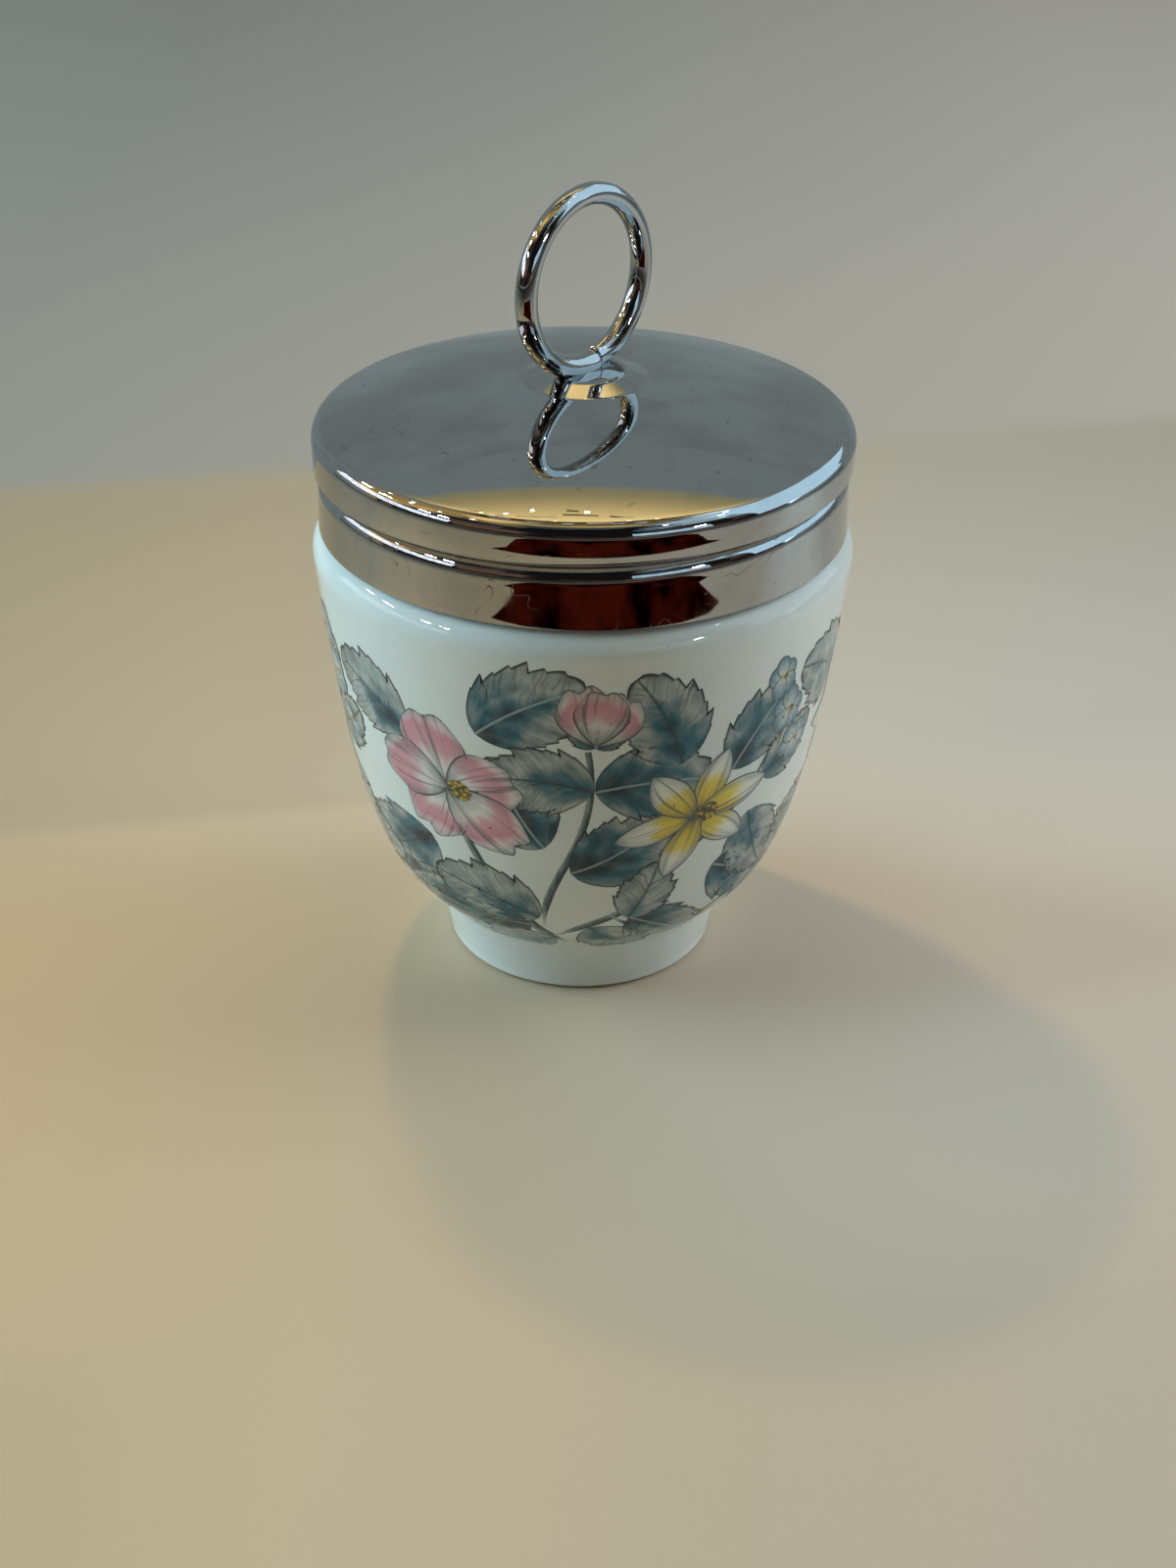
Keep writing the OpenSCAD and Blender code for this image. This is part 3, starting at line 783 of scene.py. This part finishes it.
# lifting ring, one bent wire
ring = {
    "wireR": 1.325, "ringR": 10.195, "seam": 0.22, "seamTurn": 10, "endRound": 0.18,
    "slip": 0.22, "sprung": 25,  # the end that sprang out of line, and for how many degrees
    "sunk": 0.2,  # below the pad's top
    "around": 320, "sides": 64,
}


def makeRing():
    r = ring
    centre = Vector((0, 0, ringHigh[2] - (r["ringR"] + r["wireR"]) * mm))
    bm = bmesh.new()
    made = bmesh.ops.create_circle(bm, segments=r["sides"], radius=r["wireR"] * mm)
    bmesh.ops.rotate(bm, verts=made["verts"], cent=(0, 0, 0), matrix=Matrix.Rotation(math.pi / 2, 3, "Y"))
    bmesh.ops.translate(bm, verts=made["verts"], vec=(0, 0, -r["ringR"] * mm))
    gap = r["seam"] / r["ringR"]
    bmesh.ops.rotate(bm, verts=bm.verts, cent=(0, 0, 0), matrix=Matrix.Rotation(-gap / 2, 3, "Y"))
    bmesh.ops.spin(bm, geom=bm.verts[:] + bm.edges[:], cent=(0, 0, 0), axis=(0, 1, 0),
                   angle=-(math.tau - gap), steps=r["around"])
    ends = [loop for loop in bm.edges if loop.is_boundary]
    bmesh.ops.holes_fill(bm, edges=ends)
    bmesh.ops.recalc_face_normals(bm, faces=bm.faces)
    rims = [e for e in bm.edges if len(e.link_faces) == 2 and e.calc_face_angle() > 1.2]
    bmesh.ops.bevel(bm, geom=rims, offset=r["endRound"] * mm, segments=3, affect="EDGES", profile=0.5,
                    material=-1)
    # the end on the far side sprang a little out of line before it was welded
    for vert in bm.verts:
        turn = math.degrees(math.atan2(vert.co.x, -vert.co.z))
        if 0 < turn < r["sprung"]:
            slip = r["slip"] * mm * (1 - smooth(0, r["sprung"], turn))
            vert.co.y += slip
            vert.co.z += 0.5 * slip
    turned = Matrix.Rotation(-math.radians(r["seamTurn"]), 3, "Y")
    bmesh.ops.rotate(bm, verts=bm.verts, cent=(0, 0, 0), matrix=turned)
    bmesh.ops.translate(bm, verts=bm.verts, vec=centre)
    flat = (padProfile()[0][1] - r["sunk"]) * mm  # where it is welded on
    for vert in bm.verts:
        vert.co.z = max(vert.co.z, flat)
    piece = finishMesh(bm, "liftingRing", [mirrorSteel("mirrorSteelWire", 0.25)])
    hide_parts("lifting_ring")
    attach(piece, "lid")


makeRing()
print("ring made")


# floor, lamps and the room that the metal mirrors
# painted light as well as the boards' paint: a warm pool of lamp light on the left, painted shade at the far
# left and beside the cup's foot, and a brighter floor to the right
floorPaintAndLight = {  # from left to right
    "beside": [(0.0, "#8f8163"), (0.22, "#d2b48b"), (0.335, "#d6b890"), (0.5, "#cbb59a"), (0.67, "#dcd1c3"),
               (1.0, "#d6d3cf")],
    "near": [(0.0, "#86795f"), (0.365, "#c8b190"), (0.45, "#d1b999"), (0.55, "#ccb89f"), (0.64, "#c9b8a5"),
             (1.0, "#c2b2a4")],
    "behind": [(0.0, "#857a66"), (0.28, "#c2ad8e"), (0.38, "#ceb89c"), (0.635, "#cac0b4"),
               (0.73, "#c6beb6"), (1.0, "#b8b0a8")],
    "wall": [(0.2, "#94908a"), (0.9, "#bdb3a9")],
}


def floorWithPaintedLight():
    # matt painted boards, with a grey one at the back. Their colour also holds painted light: a warm pool of
    # lamp light on the left, a brighter, cooler floor on the right, painted shade towards the back and a
    # painted shadow edge on the left
    material, tree = newMaterial("boardPaintAndPaintedLight")
    place = addNode(tree, "TexCoord").outputs["Object"]
    toRight, toBack = [
        addNode(tree, "VectorMath", {0: place, 1: fromCamera(*way) / mm}, operation="DOT_PRODUCT")
        .outputs["Value"] for way in ((1, 0, 0), (-0.187, 1, 0))]
    cloud = addNode(tree, "TexNoise", {"Vector": place, "Scale": 9.0, "Detail": 4.0})
    drift = addNode(tree, "Math", {0: cloud, 1: 0.02, 2: toRight}, operation="MULTIPLY_ADD")
    across = addNode(tree, "MapRange", {0: drift, 1: -0.20, 2: 0.20})
    beside, near, behind, wall = [
        addNode(tree, "ValToRGB", {0: across}, stops=stops) for stops in floorPaintAndLight.values()]
    front = addNode(tree, "MapRange", {0: toBack, 1: -0.085, 2: -0.035, 3: 1.0, 4: 0.0})
    rear = addNode(tree, "MapRange", {0: toBack, 1: 0.005, 2: 0.042})
    # painted shade: the floor darker towards the back
    paintedBackShade = addNode(tree, "MapRange", {0: toBack, 1: 0.03, 2: 0.15, 3: 0.0, 4: 0.5})
    # painted shadow edge: a darker step, on the left only
    paintedShadowEdge = addNode(tree, "MapRange", {0: toBack, 1: 0.0325, 2: 0.037, 3: 0.0, 4: 0.20})
    onLeft = addNode(tree, "MapRange", {0: across, 1: 0.42, 2: 0.58, 3: 1.0, 4: 0.0})
    paintedShadowEdge = addNode(tree, "Math", {0: paintedShadowEdge, 1: onLeft}, operation="MULTIPLY")
    back = addNode(tree, "MapRange", {0: toBack, 1: 0.158, 2: 0.168})
    # the dark room beyond the table's edge, which only the polished metal mirrors
    away = addNode(tree, "VectorMath", {0: place}, operation="LENGTH").outputs["Value"]
    away = addNode(tree, "MapRange", {0: away, 1: 0.22, 2: 0.45, 3: 0.0, 4: 0.85})
    mirrored = addNode(tree, "LightPath").outputs["Is Glossy Ray"]
    away = addNode(tree, "Math", {0: away, 1: mirrored}, operation="MULTIPLY")
    colour = layOver(tree, beside, (front, near), (rear, behind), (paintedBackShade, "#9b8d74"), (paintedShadowEdge, "#7f7560"),
                     (back, wall), (away, "#2b2d30"))
    finishMaterial(tree, {"Base Color": colour, "Roughness": 0.55, "IOR": 1.45})
    return material


def makeFloor():
    bm = bmesh.new()
    bmesh.ops.create_grid(bm, x_segments=2, y_segments=2, size=3.0)
    floor = finishMesh(bm, "floor", [floorWithPaintedLight()], smoothShade=False)
    floor.location.z = -0.02 * mm


def makeLamp(name, place, aimZ, size, power, colour):  # mirrors see the cards in its stead
    data = bpy.data.lights.new(name, "AREA")
    data.shape = "RECTANGLE"
    data.size, data.size_y = [side * mm for side in size]
    data.energy = power
    data.color = hexColour(colour)[:3]
    lamp = addObject(name, data)
    lamp.location = fromCamera(*place)
    lamp.rotation_euler = (fromCamera(0, 0, aimZ) - lamp.location).to_track_quat("-Z", "Y").to_euler()
    lamp.visible_glossy = False


def makeCard(name, near, far, colours, strength):  # a studio card between two rows, which only mirrors see
    material, tree = newMaterial(name)
    place = addNode(tree, "TexCoord").outputs["Object"]
    cloud = addNode(tree, "TexNoise", {"Vector": place, "Scale": 22.0, "Detail": 3.0})
    colour = addNode(tree, "ValToRGB", {0: cloud}, stops=[(0.42, colours[0]), (0.62, colours[1])])
    glow = addNode(tree, "Emission", {"Color": colour, "Strength": strength})
    addNode(tree, "OutputMaterial", {0: glow})
    bm = bmesh.new()
    rows = [[bm.verts.new(fromCamera(*corner)) for corner in row] for row in (near, far)]
    for i in range(len(near) - 1):
        bm.faces.new((rows[0][i], rows[0][i + 1], rows[1][i + 1], rows[1][i]))
    card = finishMesh(bm, name, [material], smoothShade=False)
    card.visible_camera = card.visible_diffuse = card.visible_shadow = card.visible_transmission = False


def levelRow(x, y, z, half):
    return [(x - half, y, z), (x + half, y, z)]


def sitterRow(isFar):  # a pointed bow round the table's front, from 35 degrees left to 54 right
    made = []
    for i in range(25):
        aside = i / 12 - 1
        inward = min(i, 24 - i)
        radius = {0: 170, 1: 184, 2: 240}.get(inward, 330) if isFar else 155 + 15 * aside**2
        turn = math.radians(9.5 + 44.5 * aside * (0.875 if isFar and inward else 1))
        made.append((radius * math.sin(turn), -radius * math.cos(turn), 1))
    return made


skyColours = {  # along an arch over the table, from the back wall over the ceiling to the room's front
    "right": [(0.0, "#7f898a"), (0.287, "#899496"), (0.32, "#939b8c"), (0.40, "#98a496"), (0.44, "#bcd6e2"),
              (0.60, "#cbe6f2"), (0.76, "#a9c6d4"), (0.80, "#1e262b"), (0.90, "#33241d"), (1.0, "#5a4536")],
    "left": [(0.0, "#7f898a"), (0.287, "#899496"), (0.40, "#8d9288"), (0.47, "#b39a62"), (0.56, "#c8a868"),
             (0.66, "#8a7247"), (0.74, "#20262a"), (1.0, "#4a382b")],
    "middle": [(0.0, "#7f898a"), (0.293, "#899496"), (0.300, "#a9a27b"), (0.312, "#bfac78"),
               (0.330, "#e9cc8a"), (0.348, "#ffdf9a"), (0.372, "#c9a868"), (0.388, "#4a4330"),
               (0.42, "#1c1f1b"), (0.47, "#8f7a50"), (0.56, "#a48c5a"), (0.62, "#3d3f38"),
               (0.70, "#151b20"), (1.0, "#231612")],
}


def makeWorld():
    world = bpy.data.worlds.new("studio")
    scene.world = world
    world.use_nodes = True
    tree = world.node_tree
    tree.nodes.clear()
    way = addNode(tree, "TexCoord").outputs["Generated"]
    turned = addNode(tree, "Mapping", {"Vector": way, "Rotation": (0, 0, math.radians(camera["turn"]))})
    right, back, up = addNode(tree, "SeparateXYZ", {0: turned}).outputs  # the photograph's directions
    arch = addNode(tree, "Math", {0: up, 1: back}, operation="ARCTAN2")
    arch = addNode(tree, "Math", {0: arch, 1: math.pi}, operation="DIVIDE")
    aside = addNode(tree, "Math", {0: right, 1: right}, operation="MULTIPLY")
    arch = addNode(tree, "Math", {0: aside, 1: 0.2, 2: arch}, operation="MULTIPLY_ADD")
    onRight, onLeft, lit = [
        addNode(tree, "ValToRGB", {0: arch}, stops=stops) for stops in skyColours.values()]
    leftward = addNode(tree, "MapRange", {0: right, 1: -0.1, 2: 0.1, 3: 1.0, 4: 0.0})
    middle = addNode(tree, "Math", {0: right}, operation="ABSOLUTE")
    middle = addNode(tree, "MapRange", {0: middle, 1: 0.28, 2: 0.40, 3: 1.0, 4: 0.0})
    # lamps, frames and shelves of the room, as bright and dark bars
    bars = addNode(tree, "Mapping", {"Vector": turned, "Scale": (2.4, 5.0, 5.0)})
    cells = addNode(tree, "TexVoronoi", {"Vector": bars, "Scale": 1.0, "Randomness": 0.9},
                    distance="CHEBYCHEV")
    bar = addNode(tree, "SeparateColor", {0: cells.outputs["Color"]})
    overhead = addNode(tree, "MapRange", {0: arch, 1: 0.41, 2: 0.45})
    dark = addNode(tree, "MapRange", {0: bar, 1: 0.66, 2: 0.72, 3: 0.0, 4: 0.85})
    dark = addNode(tree, "Math", {0: dark, 1: overhead}, operation="MULTIPLY")
    shell = layOver(tree, onRight, (leftward, onLeft), (middle, lit), (dark, "#16191b"))
    sparkle = addNode(tree, "MapRange", {0: bar, 1: 0.24, 2: 0.22, 3: 1.0, 4: 3.0})
    bright = addNode(tree, "MapRange", {0: arch, 1: 0.305, 2: 0.340, 3: 0.0, 4: 0.65})
    bright = addNode(tree, "Math", {0: bright, 1: middle, 2: 1.0}, operation="MULTIPLY_ADD")
    sparkle = addNode(tree, "Mix", {0: overhead, 2: bright, 3: sparkle})
    front = addNode(tree, "VectorMath", {0: way, 1: fromCamera(0, -1, 0) / mm}, operation="DOT_PRODUCT")
    fill = addNode(tree, "MapRange", {0: front.outputs["Value"], 1: -0.6, 2: 0.75, 3: 0.68, 4: 0.11})
    ray = addNode(tree, "LightPath").outputs
    glossy = addNode(tree, "Background", {"Color": shell, "Strength": sparkle})
    soft = addNode(tree, "Background", {"Color": "#ddd8cc", "Strength": fill})
    seen = addNode(tree, "Background", {"Color": "#9c9d98", "Strength": 1.0})
    first = addNode(tree, "MixShader", {0: ray["Is Glossy Ray"], 1: soft, 2: glossy})
    both = addNode(tree, "MixShader", {0: ray["Is Camera Ray"], 1: first, 2: seen})
    addNode(tree, "OutputWorld", {0: both})


# places are right, back and up in the photograph, in mm
studio = {
    "lampZ": 900, "spotGlow": 24.0, "panelZ": 880, "panelDepth": 50, "panelGlow": 2.6,
    "glintHeight": 20, "glintGlow": 90.0,
    "spots": [  # small lamps of the room: right, back and size
        (-150, 478, 4.5), (8, 468, 4.5), (-98, 484, 3), (-205, 480, 3), (-190, 400, 5), (95, 365, 5),
        (-60, 345, 5), (160, 350, 6), (-720, 360, 20), (-640, 180, 16), (-800, 60, 24), (-690, -140, 16),
        (-560, -330, 20), (520, 60, 18), (640, -140, 22), (420, -420, 18)],
    "rails": [  # the dark rails between them: right, back and half the length
        (-235, 496, 34), (-180, 458, 26), (-90, 448, 40), (-5, 456, 34), (75, 452, 24), (-20, 474, 12)],
    "glints": [  # bright panes that the glaze mirrors as sharp glints: right, back, up and half the length
        (-412, 422, 445, 30), (-542, 229, 459, 36), (-585, 77, 463, 44), (-578, -193, 444, 36),
        (-539, -292, 441, 36), (501, -454, 327, 44)],
    "panels": [  # coloured panels of the ceiling: right, back, half the width and colour
        (95, 60, 18, "#bfe6ff"), (160, 40, 20, "#a9d4f2"), (40, 150, 30, "#ffe9bd"),
        (-120, 90, 26, "#dfeee6"), (-210, 170, 30, "#e8f3ff"), (-40, 60, 14, "#cfe4d8")],
}
lampZ, panelZ = studio["lampZ"], studio["panelZ"]
makeFloor()
makeWorld()
makeLamp("shelfLamp", (-78, 150, 312), 30, (20, 20), 0.22, "#ffdb9a")
makeLamp("leftWindow", (-850, 60, 420), 40, (700, 600), 8.8, "#c8f0ff")
makeLamp("rightWindow", (800, 150, 420), 40, (500, 600), 4.8, "#dff0f6")
makeCard("leftPane", [(-850, -600, 250), (-850, 1200, 250)], [(-850, -600, 470), (-850, 1200, 470)],
         ("#f4f8ff", "#8e9db4"), 2.8)
makeCard("rightPane", [(800, -250, 170), (800, 1400, 170), (800, 1480, 170)],
         [(800, -250, 1400), (800, 1400, 1270), (800, 1480, 1090)], ("#c6e6fa", "#b4dcf6"), 1.45)
makeCard("backWall", [(-250, 114, 0), (124, 184, 0), (125, 184, 0), (300, 217, 0)],
         [(-250, 114, 240), (124, 184, 240), (125, 184, 160), (300, 217, 160)], ("#7f898a", "#899496"), 1.0)
makeCard("sitterShade", sitterRow(False), sitterRow(True), ("#060000", "#48140a"), 1.0)
makeCard("frontPane", [(300, -850, 190), (720, -560, 190)], [(300, -850, 400), (720, -560, 400)],
         ("#b9dcf2", "#8fb6cf"), 1.5)
for i, (x, y, size) in enumerate(studio["spots"]):
    makeCard("spot%d" % i, levelRow(x, y, lampZ, size), levelRow(x, y + size, lampZ, size),
             ("#ffffff", "#fff2dd"), studio["spotGlow"])
for i, (x, y, length) in enumerate(studio["rails"]):  # just under the lamps, and a little askew
    makeCard("rail%d" % i, [(x - length, y, lampZ - 2), (x + length, y - 4, lampZ - 2)],
             [(x - length, y + 6, lampZ - 2), (x + length, y + 1, lampZ - 2)], ("#1a150c", "#4d4026"), 1.0)
for i, (x, y, z, length) in enumerate(studio["glints"]):
    top = z + studio["glintHeight"]
    makeCard("glint%d" % i, [(x, y - length, z), (x, y + length, z)],
             [(x, y - length, top), (x, y + length, top)], ("#ffffff", "#f2fbff"), studio["glintGlow"])
for i, (x, y, wide, colour) in enumerate(studio["panels"]):
    makeCard("panel%d" % i, levelRow(x, y, panelZ, wide), levelRow(x, y + studio["panelDepth"], panelZ, wide),
             (colour, "#5d6f78"), studio["panelGlow"])
print("stage made")
